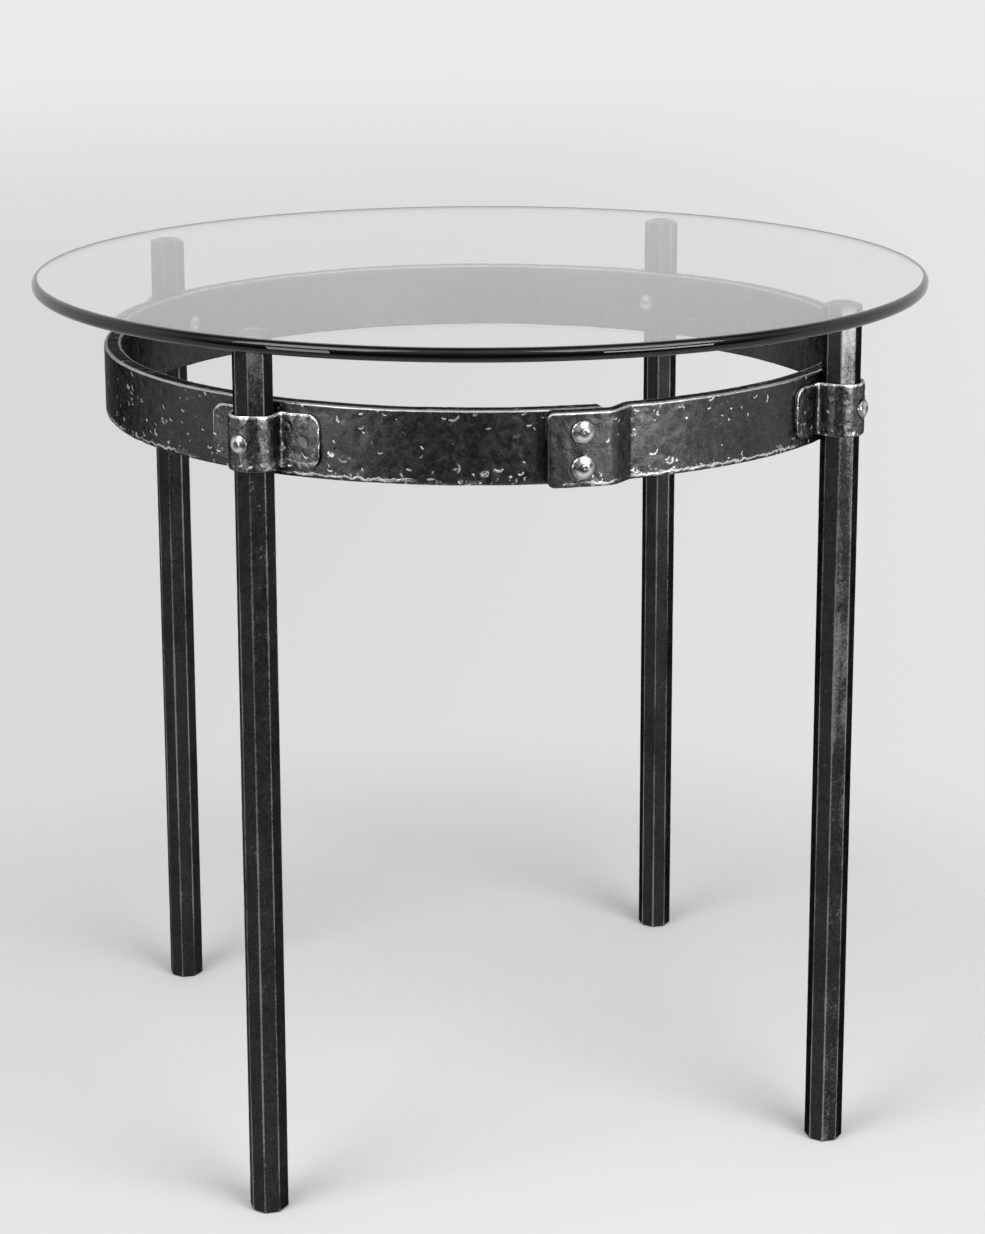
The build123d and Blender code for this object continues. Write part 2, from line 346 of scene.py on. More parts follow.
RIVET_TURN = whole_turn(64)
LEG_MIDDLES = {place: turned(np.array([LEG_RADIUS, 0.0, 0.0]), angle) for place, angle in LEG_ANGLES.items()}


def arc(centre, radius, start, end, count):
    """Points along an arc, from one angle to another, in degrees."""
    angle = np.radians(np.linspace(start, end, count))
    return np.column_stack([centre[0] + radius * np.cos(angle), centre[1] + radius * np.sin(angle)])


def leg_surface(settings, seed, flat_number, low_sheen, top_sheen):
    """Octagonal bar: the section is eight flats joined by small arcs, and its half width is drawn in by the
    chamfer near each end. Hollows and a slow ripple are pressed inward. Flat 0 faces X. One flat is painted
    lighter as a lamp's sheen, by a share that grows with the cube of the height."""
    half, corner = settings.flats / 2, settings.corner_round
    chamfer, height = settings.end_chamfer, settings.height
    half_flat = (half - corner) * math.tan(SIDE_TURN / 2)
    flat = np.array([-0.9, -0.62, -0.25, 0.0, 0.25, 0.62, 0.9])
    across, away, to_corner, normal_angle = [], [], [], []
    for facing in np.arange(SIDES) * SIDE_TURN:
        across.append(flat * half_flat)
        away.append(np.full(len(flat), half))
        normal_angle.append(np.full(len(flat), facing))
        to_corner.append((1 - np.abs(flat)) * half_flat)
        for share in (0.0, 1 / 3, 2 / 3, 1.0):
            across.append([half_flat])
            away.append([half - corner])
            normal_angle.append([facing + share * SIDE_TURN])
            to_corner.append([0.0])
    sides = np.repeat(np.arange(SIDES) * SIDE_TURN, len(flat) + 4)
    across, away = np.concatenate(across), np.concatenate(away)
    normal_angle, to_corner = np.concatenate(normal_angle), np.concatenate(to_corner)
    reach = np.where(away < half - corner / 2, corner, 0)
    x = away * np.cos(sides) - across * np.sin(sides) + reach * np.cos(normal_angle)
    y = away * np.sin(sides) + across * np.cos(sides) + reach * np.sin(normal_angle)
    step = chamfer * np.array([0.0, 0.06, 0.2, 0.5, 0.8, 0.96, 1.1, 1.4])
    middle = np.linspace(chamfer * 2.2, height - chamfer * 2.2, 230)
    z = np.concatenate([step, middle, height - step[::-1]])
    from_end = np.minimum(z, height - z)
    drawn = np.clip(chamfer - from_end, 0, None)
    drawn = np.where(from_end < chamfer * 0.1, chamfer + (chamfer * 0.1 - from_end) * 1.5, drawn)
    shrink = (1 - drawn / half)[:, None]
    along, side = z[:, None], (sides / SIDE_TURN)[None, :]
    press = hammer_marks(side * 7.3 + across[None, :] / 0.006, along / 0.011, seed) * settings.mark_depth
    ripple = soft_noise(side * 3.1 + across[None, :] / 0.02, along / 0.045, seed + 1)
    press = (press + ripple * settings.mark_depth) * np.clip(from_end / chamfer - 1, 0, 1)[:, None]
    grid_x = x * shrink - np.cos(normal_angle) * press
    grid_y = y * shrink - np.sin(normal_angle) * press
    grid_z = np.broadcast_to(along, grid_x.shape)
    edge = np.exp(-((to_corner / 0.0009) ** 2))[None, :] + np.exp(-((from_end / 0.0022) ** 2))[:, None]
    # Painted sheen: one flat is lighter, more so towards the top, as a lamp would light it.
    rubbed = (low_sheen + top_sheen * (along / height) ** 3) * (np.round(side) == flat_number)
    return np.stack([grid_x, grid_y, grid_z], axis=-1), np.clip(np.maximum(edge, rubbed), 0, 1)


def joggle_radius(angle, hoop, lap, start, end, lap_bend, hoop_bend):
    """Radius of one face of the bar at each angle: the lap's circle before the joggle, the hoop's after it,
    and between them a bend inside the lap's circle, a straight ramp that touches both bends, and a bend
    outside the hoop's circle. Each is where the ray at that angle meets the circle or the line."""
    lap_centre = (lap - lap_bend) * np.array([np.cos(start), np.sin(start)])
    hoop_centre = (hoop + hoop_bend) * np.array([np.cos(end), np.sin(end)])
    gap = hoop_centre - lap_centre
    facing = np.arctan2(gap[1], gap[0]) - np.arccos((lap_bend + hoop_bend) / np.hypot(*gap))
    way = np.array([np.cos(facing), np.sin(facing)])
    ramp_start, ramp_end = lap_centre + way * lap_bend, hoop_centre - way * hoop_bend
    turn_start, turn_end = np.arctan2(ramp_start[1], ramp_start[0]), np.arctan2(ramp_end[1], ramp_end[0])
    reach, off = lap - lap_bend, angle - start
    first = reach * np.cos(off) + np.sqrt(np.clip(lap_bend**2 - (reach * np.sin(off)) ** 2, 0, 1))
    reach, off = hoop + hoop_bend, angle - end
    last = reach * np.cos(off) - np.sqrt(np.clip(hoop_bend**2 - (reach * np.sin(off)) ** 2, 0, 1))
    ramp = (way @ ramp_start) / np.cos(angle - facing)
    before = [angle < start, angle < turn_start, angle < turn_end, angle < end]
    return np.select(before, [lap, first, ramp, last], hoop)


def ring_lines(settings):
    """The bar's two long lines from its hidden end round the hoop, through the joggle, to the end that
    shows."""
    hoop = settings.diameter / 2
    lap = hoop + settings.lap_gap + settings.thickness
    middle = math.radians(LAP_ANGLE)
    hidden, shown = middle + settings.inner_reach / hoop, middle - settings.outer_reach / hoop
    outer_start = middle + settings.joggle_outer_reach / hoop
    inner_start = middle + settings.joggle_inner_reach / hoop
    run = settings.joggle_length / hoop
    ease = np.array([0.0, 0.00012, 0.0003, 0.0006, 0.001, 0.0014, 0.0018, 0.0023, 0.003, 0.0039]) / hoop
    first = hidden + 2 * math.pi - ease
    last = shown + ease[::-1]
    angle = np.concatenate([
        first,
        np.linspace(first[-1] - 0.004, inner_start + run + 0.006, 1000),
        np.linspace(inner_start + run + 0.004, outer_start - 0.003, 90),
        np.linspace(outer_start - 0.006, last[0] + 0.003, 22),
        last,
    ])
    soft, tight = settings.soft_bend, settings.tight_bend
    outer = joggle_radius(angle, hoop, lap, outer_start, outer_start + run, soft, tight)
    inner = joggle_radius(angle, hoop - settings.thickness, lap - settings.thickness, inner_start,
                          inner_start + run, tight, soft)
    way = np.column_stack([np.cos(angle), np.sin(angle)])
    return way * inner[:, None], way * outer[:, None]


def strap_lines(settings, half_flats, ring_radius):
    """The strap's two long lines in the leg's own plane, X outward: an arc round the leg for the barrel,
    then on each side a hollow bend and an arc that follows the ring for the wing. All arcs share their
    centres."""
    barrel = half_flats / math.cos(SIDE_TURN / 2) + settings.clearance
    wing = ring_radius + settings.clearance
    bend = settings.bend_radius + settings.thickness
    x = ((wing + bend) ** 2 - (barrel + bend) ** 2 - LEG_RADIUS**2) / 2 / LEG_RADIUS
    y = math.sqrt((barrel + bend) ** 2 - x**2)
    barrel_turn, bend_turn = math.degrees(math.atan2(y, x)), math.degrees(math.atan2(y, x + LEG_RADIUS))
    wing_turn = math.degrees(settings.reach / wing)
    ease = np.array([0.0, 0.00006, 0.00016, 0.0003, 0.0005, 0.0008, 0.0013, 0.002, 0.0029, 0.004])
    wing_angles = np.concatenate([np.linspace(bend_turn, wing_turn - math.degrees(0.0048 / wing), 26),
                                  wing_turn - np.degrees(ease[::-1] / wing)])
    lines = []
    turns = np.radians(wing_angles[1:])
    for depth in (0.0, settings.thickness):
        half = np.concatenate([
            arc((0, 0), barrel + depth, 0, barrel_turn, 48),
            arc((x, y), bend - depth, 180 + barrel_turn, 180 + bend_turn, 24)[1:],
            np.column_stack([np.cos(turns) * (wing + depth) - LEG_RADIUS, np.sin(turns) * (wing + depth)]),
        ])
        lines.append(np.concatenate([half[:0:-1] * (1, -1), half]))
    return lines


def ball_radius(radius, rise):
    """Radius of the ball whose cap has a radius and a rise."""
    return (radius**2 + rise**2) / 2 / rise


def head_profile(seat, way, radius, dome, rim, count):
    """Half outline of a rivet head from its tip to its base: a round cap, then the upright rim."""
    ball = ball_radius(radius, dome - rim)
    turn = np.linspace(0, math.asin(min(1.0, radius / ball)), count)
    cap = np.column_stack([seat + way * (dome - ball + ball * np.cos(turn)), ball * np.sin(turn)])
    sides = np.array([[seat + way * rim * share, radius] for share in (0.75, 0.4, 0.12, 0.0)])
    return np.concatenate([cap, sides])


def facet_press(radius, turn, ball, count, seed):
    """How far hammered facets are pressed into a round cap: each facet is a flat that cuts the ball a
    little below its surface, and where flats meet the lower one counts, blended softly."""
    random = np.random.default_rng(seed)
    polar = np.broadcast_to(radius / ball, np.broadcast(radius, turn).shape)
    upright = np.sqrt(np.clip(1 - polar**2, 0, 1))
    ray = np.stack([upright, polar * np.cos(turn), polar * np.sin(turn)], axis=-1)
    lean = np.concatenate([[0.05], 0.34 + 0.22 * random.random(count - 1)])
    around = (np.arange(count - 1) + 0.5 * random.random(count - 1)) * 2 * np.pi / (count - 1)
    around = np.concatenate([[0.0], around])
    normals = np.column_stack([np.cos(lean), np.sin(lean) * np.cos(around), np.sin(lean) * np.sin(around)])
    cut = ball * np.cos(0.13 + 0.09 * random.random(count))
    reach = cut / np.clip(ray @ normals.T, 0.2, None)
    reach = np.concatenate([reach, np.full(reach.shape[:-1] + (1,), ball)], axis=-1)
    sharp = 14000.0
    return np.log(np.exp(-sharp * (reach - ball)).sum(axis=-1)) / sharp


def rivet_surface(profile, facets):
    """A half outline turned round the rivet's own axis, which is X. Facets are pressed in along the axis."""
    x = profile[:, :1] + facets
    radius = np.broadcast_to(profile[:, 1:], x.shape)
    return np.stack([x, radius * np.cos(RIVET_TURN), radius * np.sin(RIVET_TURN)], axis=-1)


# Finishes

# Cells per metre, and the radius and the width of the painted nick highlights in them, in metres.
NICK_HIGHLIGHT_SIZES = ((95.0, 0.0034, 0.0008), (170.0, 0.0018, 0.0006))
# Strength of the iron's reflections at grazing angles.
GRAZING_TINT = (0.25, 0.25, 0.25, 1.0)
# What clear pieces let through of a lamp's light.
LAMP_SHARE = (0.93, 0.93, 0.93, 1.0)
WHITE = (1.0, 1.0, 1.0, 1.0)


def add(tree, kind, inputs=None, **settings):
    """Adds a shader node. An input that is given a socket is linked to it, and any other value is set on
    it."""
    made = tree.nodes.new(kind)
    for key, value in settings.items():
        setattr(made, key, value)
    for key, value in (inputs or {}).items():
        if isinstance(value, bpy.types.NodeSocket):
            tree.links.new(value, made.inputs[key])
        else:
            made.inputs[key].default_value = value
    return made


def follow(kind, inputs, **settings):
    """Adds a shader node to the tree of its first linked input, and returns the node's outputs."""
    linked = next(value for value in inputs.values() if isinstance(value, bpy.types.NodeSocket))
    return add(linked.id_data, kind, inputs, **settings).outputs


def new_finish(name):
    """An empty material's node tree, and the coordinates of the object that wears it."""
    material = bpy.data.materials.new(name)
    material.use_nodes = True
    tree = material.node_tree
    tree.nodes.clear()
    return material, tree, add(tree, "ShaderNodeTexCoord").outputs["Object"]


def calc(operation, first, second=0.0, clamp=False):
    """One sum of two values."""
    return follow("ShaderNodeMath", {0: first, 1: second}, operation=operation, use_clamp=clamp)[0]


def plus(first, second):
    """One value added to another."""
    return calc("ADD", first, second)


def minus(first, second):
    """One value taken from another."""
    return calc("SUBTRACT", first, second)


def times(first, second):
    """Two values multiplied."""
    return calc("MULTIPLY", first, second)


def weighted(*parts):
    """Sum of values, each times its weight."""
    total = times(*parts[0])
    for part in parts[1:]:
        total = plus(total, times(*part))
    return total


def swing(value, amount):
    """A value from 0 to 1 turned into a swing about zero."""
    return times(minus(value, 0.5), amount)


def vector_calc(operation, *vectors):
    """One sum of vectors: its value where it has one, and its vector elsewhere."""
    made = follow("ShaderNodeVectorMath", dict(enumerate(vectors)), operation=operation)
    return made["Value" if operation in ("LENGTH", "DOT_PRODUCT") else "Vector"]


def spread(value, low, high, to_low=0.0, to_high=1.0):
    """A value eased from one range to another."""
    inputs = {"Value": value, "From Min": low, "From Max": high, "To Min": to_low, "To Max": to_high}
    return follow("ShaderNodeMapRange", inputs, interpolation_type="SMOOTHSTEP")["Result"]


def blend(share, first, second):
    """One colour blended into another."""
    return follow("ShaderNodeMix", {0: share, 6: first, 7: second}, data_type="RGBA")[2]


def noise(place, scale, detail=4.0, rough=0.55):
    """Noise from 0 to 1."""
    inputs = {"Vector": place, "Scale": scale, "Detail": detail, "Roughness": rough}
    return follow("ShaderNodeTexNoise", inputs)["Fac"]


def solid(colour):
    """A colour with full alpha."""
    return (*colour, 1.0)


def painted_nick_highlights(place, patches, grit, rub, amount):
    """Painted highlights on crescents that a hammer's edge left. Each is part of a circle round the middle of
    a
    Voronoi cell, on the side that the cell's colour picks, nearly always the lower side, whose lip faces up
    and would catch light from above. Chance, the patches and the rub pick the cells that have one."""
    shown = 0.0
    for scale, radius, width in NICK_HIGHLIGHT_SIZES:
        cells = follow("ShaderNodeTexVoronoi", {"Vector": place, "Scale": scale}, feature="F1")
        away = vector_calc("SUBTRACT", place, cells["Position"])
        reach = vector_calc("LENGTH", away)
        # Leaning the side downward puts each painted highlight on a crescent's lower lip, which faces up.
        facing = vector_calc("NORMALIZE", vector_calc("SUBTRACT", cells["Color"], (0.5, 0.5, 0.95)))
        along = calc("DIVIDE", vector_calc("DOT_PRODUCT", away, facing), reach)
        chance = follow("ShaderNodeSeparateColor", {0: cells["Color"]})
        bow = plus(spread(chance[0], 0.0, 1.0, radius * 0.6, radius * 1.4), swing(grit, radius * 0.5))
        off = calc("ABSOLUTE", minus(reach, bow))
        mark = times(spread(off, width, width * 0.2), spread(along, 0.45, 0.8))
        odds = plus(plus(chance[1], swing(patches, 1.4)), minus(times(rub, 0.45), 0.035))
        mark = times(mark, spread(odds, 0.98 - amount, 1.06 - amount))
        shown = calc("MAXIMUM", shown, mark)
    return shown


def lower_ledge(place, mottle, rub):
    """A broken bright line near the lower edge, where the rub passes a mottled level."""
    off = calc("ABSOLUTE", minus(rub, plus(times(mottle, 0.6), 0.46)))
    return times(spread(off, 0.09, 0.03), spread(noise(place, 11.0, 2.0, 0.5), 0.42, 0.5))


def worn_iron(name, settings, light=None, grain=(1.0, 1.0, 1.0), grain_scale=260.0, hammered=0.5, rubbed=0.5,
              broken=0.5, specks=0.5, rough=0.36, streaks=0.0, filed=0.00005, nick_highlight=0.0):
    """Forged iron under wax: black scale rubbed lighter in patches, bare metal on edges and in small
    bruises, painted highlights on the lower lips of nicks that a hammer's edge left, fine file marks that can
    run along the bar, and hammer dimples. Reads the piece's own edge and rub attributes, and the settings'
    colours; on the legs the edge attribute also carries one flat's painted sheen."""
    material, tree, place = new_finish(name)
    stretched = follow("ShaderNodeMapping", {"Vector": place, "Scale": grain})["Vector"]
    # On the legs the edge attribute also carries one flat's painted sheen.
    edge = add(tree, "ShaderNodeAttribute", attribute_name="edge").outputs["Fac"]
    rub = add(tree, "ShaderNodeAttribute", attribute_name="rub").outputs["Fac"]
    patches = noise(place, 26.0, 3.0)
    mottle = noise(place, 170.0, 4.0, 0.6)
    grit = noise(place, 700.0, 3.0, 0.65)
    fine = noise(stretched, grain_scale, 5.0, 0.7)
    runs = noise(stretched, 120.0, 3.0)
    tone = plus(weighted((patches, 0.2), (mottle, 0.2), (grit, 0.6)), swing(fine, streaks))
    scale_colour = blend(spread(tone, 0.3, 0.72), solid(settings.dark), solid(light or settings.light))
    worn = plus(edge, swing(weighted((runs, 0.4), (patches, 0.3), (grit, 0.3)), 2 * broken))
    worn = spread(worn, 1.0 - 0.7 * rubbed, 1.35 - 0.7 * rubbed)
    spots = plus(plus(noise(place, 340.0, 2.0, 0.5), times(rub, 0.12)), swing(patches, 0.4))
    shown = calc("MAXIMUM", worn, times(spread(spots, 0.74, 0.8), specks), clamp=True)
    dimples = follow("ShaderNodeTexVoronoi", {"Vector": place, "Scale": 110.0, "Smoothness": 0.8},
                     feature="SMOOTH_F1")["Distance"]
    shape = weighted((spread(dimples, 0.1, 0.75), 0.4), (mottle, 0.6), (grit, 0.35))
    if nick_highlight:
        # Painted highlights on the nicks' lower lips, in bare colour and raised a little in the bump, joined
        # by a broken bright line near the lower edge.
        bright_marks = painted_nick_highlights(place, patches, grit, rub, nick_highlight)
        bright_marks = calc("MAXIMUM", bright_marks, times(lower_ledge(place, mottle, rub), 3 * nick_highlight), clamp=True)
        shown = calc("MAXIMUM", shown, bright_marks, clamp=True)
        shape = plus(shape, times(bright_marks, 0.9))
    uneven = spread(weighted((fine, 0.5), (mottle, 0.5)), 0.3, 0.7, rough - 0.08, rough + 0.12)
    deep = follow("ShaderNodeBump", {"Height": shape, "Distance": 0.001 * hammered, "Strength": 1.0})
    close = follow("ShaderNodeBump", {
        "Height": fine, "Distance": filed, "Strength": 0.7, "Normal": deep["Normal"]})
    surface = follow("ShaderNodeBsdfPrincipled", {
        "Base Color": blend(shown, scale_colour, solid(settings.bare)), "Metallic": 1.0,
        "Roughness": minus(uneven, times(shown, 0.06)), "Normal": close["Normal"],
        "Specular Tint": GRAZING_TINT})
    follow("ShaderNodeOutputMaterial", {"Surface": surface["BSDF"]})
    return material


def clear_finish(name, roughness, index, body=None, density=0.0, ripple=0.0, shine=0.5, tint=1.0, milk=0.0):
    """Clear material that lets lamps through: rays from lamps pass it, and every other ray meets real
    glass."""
    material, tree, place = new_finish(name)
    smear = spread(noise(place, 9.0, 5.0, 0.6), 0.35, 0.75, roughness, roughness + 0.012)
    wave = noise(place, 60.0, 2.0, 0.5)
    bump = follow("ShaderNodeBump", {"Height": wave, "Distance": ripple, "Strength": 0.5})
    clear = follow("ShaderNodeBsdfPrincipled", {
        "Base Color": solid((tint, tint, tint)), "Metallic": 0.0, "IOR": index, "Roughness": smear,
        "Transmission Weight": 1.0 - milk, "Specular IOR Level": shine, "Normal": bump["Normal"]})
    passing = add(tree, "ShaderNodeBsdfTransparent", {"Color": LAMP_SHARE}).outputs["BSDF"]
    lamp_ray = add(tree, "ShaderNodeLightPath").outputs["Is Shadow Ray"]
    surface = follow("ShaderNodeMixShader", {0: lamp_ray, 1: clear["BSDF"], 2: passing})
    outputs = {"Surface": surface["Shader"]}
    if body is not None:
        volume = add(tree, "ShaderNodeVolumeAbsorption", {"Color": solid(body), "Density": density})
        outputs["Volume"] = volume.outputs["Volume"]
    follow("ShaderNodeOutputMaterial", outputs)
    return material


def seen_rays(tree):
    """Share of the rays that show the backdrop: those of the camera, of reflections and through glass. And
    the share of reflections alone."""
    path = add(tree, "ShaderNodeLightPath").outputs
    seen = calc("MAXIMUM", path["Is Camera Ray"], path["Is Glossy Ray"])
    return calc("MAXIMUM", seen, path["Is Transmission Ray"]), path["Is Glossy Ray"]


def studio_paper(settings):
    """Pale paper: matt round the table, where it keeps the table's shadow, and farther out a colour that
    glows
    as painted light: lighter to the right, where the lamps light the paper more, and turning to the
    backdrop's colour far away. In reflections the paper ends in front of the table, and the dim room begins."""
    material, tree, place = new_finish("studio_paper")
    shaded = solid([part * 0.985 for part in settings.paper])
    near = blend(spread(noise(place, 2.2, 3.0, 0.5), 0.3, 0.7), shaded, solid(settings.paper))
    matt = {"Base Color": near, "Roughness": 0.85, "Specular IOR Level": 0.1}
    matt = follow("ShaderNodeBsdfPrincipled", matt)
    distance = vector_calc("LENGTH", place)
    # Painted light: away from the table the paper glows lighter to the right, the side where the lamps light
    # it more.
    side = spread(vector_calc("DOT_PRODUCT", place, LIT_SIDE), -0.9, 1.1)
    lit = blend(side, solid(settings.left_paper_light), solid(settings.right_paper_light))
    rising = blend(spread(distance, 3.0, 9.0), lit, solid(settings.backdrop))
    seen, glossy = seen_rays(tree)
    front = times(spread(vector_calc("DOT_PRODUCT", place, FRONT), 0.7, 1.6), glossy)
    far = follow("ShaderNodeEmission", {"Color": blend(front, rising, solid(settings.room)), "Strength": 1.0})
    share = times(spread(distance, 0.32, 0.8), seen)
    surface = follow("ShaderNodeMixShader", {0: share, 1: matt["BSDF"], 2: far["Emission"]})
    follow("ShaderNodeOutputMaterial", {"Surface": surface["Shader"]})
    return material


def build_world(settings):
    """Pale backdrop for the camera and what is seen through glass, a dim room above and in front of it with
    soft panels for reflections, and a weaker fill for the rest."""
    world = bpy.data.worlds.new("studio")
    world.use_nodes = True
    tree = world.node_tree
    tree.nodes.clear()
    way = add(tree, "ShaderNodeTexCoord").outputs["Generated"]
    height = follow("ShaderNodeSeparateXYZ", {"Vector": way})["Z"]
    seen, glossy = seen_rays(tree)
    wall = blend(spread(height, 0.02, 0.2), solid(settings.room), solid(settings.wall))
    above = times(spread(height, 0.5, 0.8), glossy)
    sky = blend(above, solid(settings.backdrop), solid(settings.ceiling))
    sky = blend(times(spread(vector_calc("DOT_PRODUCT", way, FRONT), -0.1, 0.4), glossy), sky, wall)
    for centre, inner, outer in PANELS:
        near = spread(vector_calc("DOT_PRODUCT", way, centre), outer, inner)
        sky = blend(times(near, glossy), sky, solid(settings.panel))
    shown = follow("ShaderNodeBackground", {"Color": sky, "Strength": 1.0})
    fill = add(tree, "ShaderNodeBackground", {"Color": WHITE, "Strength": settings.fill}).outputs
    both = follow("ShaderNodeMixShader", {0: seen, 1: fill["Background"], 2: shown["Background"]})
    follow("ShaderNodeOutputWorld", {"Surface": both["Shader"]})
    bpy.context.scene.world = world


# Operators, one for each group of pieces


class END_TABLE_OT_legs(Operator):
    """Make the four octagonal legs"""

    bl_idname = "end_table.legs"
    bl_label = "Legs"

    def execute(self, context):
        settings = context.scene.end_table.legs
        finish = worn_iron("brushed_leg_iron", settings, grain=(1.0, 1.0, 0.06), grain_scale=1100.0,
                           hammered=0.08, rubbed=0.34, broken=0.9, specks=0.4, rough=0.38, streaks=0.35)
        for number, (place, angle) in enumerate(LEG_ANGLES.items()):
            # The edge values carry the painted sheen of one flat as well as the worn corners and ends.
            points, edge = leg_surface(settings, 10 + number * 7, *SHEEN_FLATS.get(place, (0, 0.0, 0.0)))
            points = turned(points, angle, LEG_MIDDLES[place])
            add_surface(f"leg_{place}", "forged", points, "frame", "leg_iron", finish, edge=edge, rub=edge)
        return {"FINISHED"}


class END_TABLE_OT_ring(Operator):
    """Make the ring from one flat bar with its ends lapped"""

    bl_idname = "end_table.ring"
    bl_label = "Ring"

    def execute(self, context):
        settings = context.scene.end_table.ring
        inner, outer = ring_lines(settings)
        section = bar_section(30, 7, 4)
        middle = (inner + outer) / 2
        along = np.concatenate([[0], np.cumsum(np.linalg.norm(np.diff(middle, axis=0), axis=1))])
        wander = settings.mark_depth * 0.7
        bottom = ring_low.z + soft_noise(along / 0.021, along * 0, 3) * wander
        top = ring_high.z - soft_noise(along / 0.027, along * 0, 4) * wander
        corners = (settings.inner_corner, settings.outer_corner)
        points, normal, along, height, to_edge = bar_surface(
            inner, outer, bottom, top, settings.edge_round, corners, section, settings.thickness)
        face = np.where(section[1][:, 0] > 0, 0.0, 37.0)
        ahead, depth = along[:, None], settings.mark_depth
        press = hammer_marks(ahead / 0.008, height / 0.0075 + face, 21) * depth
        press = press + hammer_marks(ahead / 0.0037, height / 0.0034 + face, 22) * depth * 0.4
        press = press + soft_noise(ahead / 0.03, height / 0.03 + face, 23) * depth * 0.5
        points = points - normal * press[..., None]
        upward = np.clip(0.45 + 0.75 * normal[..., 2], 0.1, 1)
        edge = np.exp(-((to_edge / 0.0012) ** 2)) * upward
        crease = along[-1] - settings.outer_reach - settings.joggle_outer_reach - settings.joggle_length
        creased = np.exp(-(((ahead - crease + 0.004) / 0.005) ** 2)) * 0.5
        rub = np.maximum(np.clip(1 - (height - ring_low.z) / 0.012, 0, 1), creased)
        rub = np.where(section[1][:, 0] < 0, -2.0, rub)
        finish = worn_iron("hammered_ring_iron", settings, hammered=0.3, rubbed=0.7, broken=0.35, specks=0.65,
                           rough=0.33, streaks=0.25, nick_highlight=0.33)
        add_surface("ring_band", "forged", points, "frame", "ring_iron", finish, edge=edge, rub=rub)
        return {"FINISHED"}


class END_TABLE_OT_straps(Operator):
    """Make the four straps that hold the legs to the ring"""

    bl_idname = "end_table.straps"
    bl_label = "Straps"

    def execute(self, context):
        settings, table = context.scene.end_table.straps, context.scene.end_table
        inner, outer = strap_lines(settings, table.legs.flats / 2, table.ring.diameter / 2)
        finish = worn_iron("strap_iron", settings, grain=(1.0, 1.0, 0.5), grain_scale=700.0, hammered=0.35,
                           rubbed=0.75, broken=0.8, specks=0.7, rough=0.26, streaks=0.3, filed=0.00016,
                           nick_highlight=0.1)
        section, corners = bar_section(32, 6, 4), (settings.corner, settings.corner)
        outside = np.clip(section[1][:, 0], 0, 1)
        share = np.linspace(0, 9, len(inner))
        depth = settings.mark_depth
        wander = depth * 1.6
        for number, (place, angle) in enumerate(LEG_ANGLES.items()):
            seed = 40 + number * 5
            bottom = strap_low.z + soft_noise(share, share * 0, seed) * wander
            top = strap_high.z - soft_noise(share, share * 0, seed + 1) * wander
            points, normal, along, height, to_edge = bar_surface(
                inner, outer, bottom, top, settings.edge_round, corners, section, settings.thickness)
            ahead = along[:, None]
            press = hammer_marks(ahead / 0.0065, height / 0.007, seed + 2) * depth
            press = press + hammer_marks(ahead / 0.003, height / 0.0026, seed + 3) * depth * 0.35
            bevel = np.clip(1 - (strap_high.z - height) / settings.bevel, 0, 1) ** 2 * depth * 1.4
            press = press + bevel * (0.3 + soft_noise(ahead / 0.009, height / 0.02, seed + 4))
            points = points - normal * (press * outside)[..., None]
            level = np.clip((height - strap_low.z) / settings.height, 0, 1)
            upward = np.clip(0.35 + 0.8 * level + 0.4 * normal[..., 2], 0.1, 1)
            edge = np.exp(-((to_edge / 0.0012) ** 2)) * upward
            top_edge = np.exp(-((to_edge / 0.004) ** 2)) * np.clip(level * 2 - 1, 0, 1) * 0.55
            points = turned(points, angle, LEG_MIDDLES[place])
            add_surface(f"strap_{place}", "forged", points, "frame", "strap_iron", finish,
                        edge=np.maximum(edge, top_edge), rub=np.clip(1 - level * 2, 0, 1))
        return {"FINISHED"}


def rivet_finish(settings):
    """Rivet iron, rubbed nearly bare on its facets."""
    known = bpy.data.materials.get("hammered_rivet_iron")
    if known:
        return known
    middle = [(low + high) / 2 for low, high in zip(settings.dark, settings.bare)]
    return worn_iron("hammered_rivet_iron", settings, light=middle, hammered=0.15, specks=0.3, rough=0.2)


class Rivet:
    """One kind of rivet, whose axis is X: an outer head, the shank, and an inner head that is seated where
    its rim meets the ring's inner face."""

    def __init__(self, table, seat, radius, dome, count):
        settings, rim, half_shank = table.rivets, table.rivets.rim, table.rivets.shank / 2
        inner_seat = math.sqrt((table.ring.diameter / 2 - table.ring.thickness) ** 2 - radius**2)
        inner_seat -= table.straps.clearance
        outer_head = head_profile(seat, 1, radius, dome, rim, count)
        inner_head = head_profile(inner_seat, -1, radius, dome, rim, count)[::-1]
        shank = np.array([[seat, half_shank], [inner_seat, half_shank]])
        self.settings, self.radius, self.count = settings, radius, count
        self.profile = np.concatenate([outer_head, shank, inner_head])
        self.ball = ball_radius(radius, dome - rim)

    def pressed(self, outer_seed, inner_seed):
        """How far hammered facets move each point of both heads along the axis."""
        moved = np.zeros((len(self.profile), len(RIVET_TURN)))
        outer_head, inner_head = slice(0, self.count), slice(-self.count, None)
        for rows, way, seed in ((outer_head, 1, outer_seed), (inner_head, -1, inner_seed)):
            reach = self.profile[rows, 1][:, None]
            moved[rows] = -way * facet_press(reach, RIVET_TURN, self.ball, self.settings.facet_count, seed)
        return moved

    def place(self, node, moved, angle, height):
        """Adds the rivet that replaces a node, at an angle and a height."""
        points = turned(rivet_surface(self.profile, moved) + (0, 0, height), angle)
        from_crown = np.abs(self.profile[:, 1:] - self.radius * 0.55)
        edge = np.clip(1 - from_crown / (self.radius * 0.9), 0, 1)
        add_surface(node, "hammered", points, "frame", "rivet_iron", rivet_finish(self.settings), edge=edge,
                    rub=edge)


def sag(radius, side):
    """How far a cylinder's surface falls away at a distance to the side of its top line."""
    return radius - np.sqrt(radius**2 - side**2)


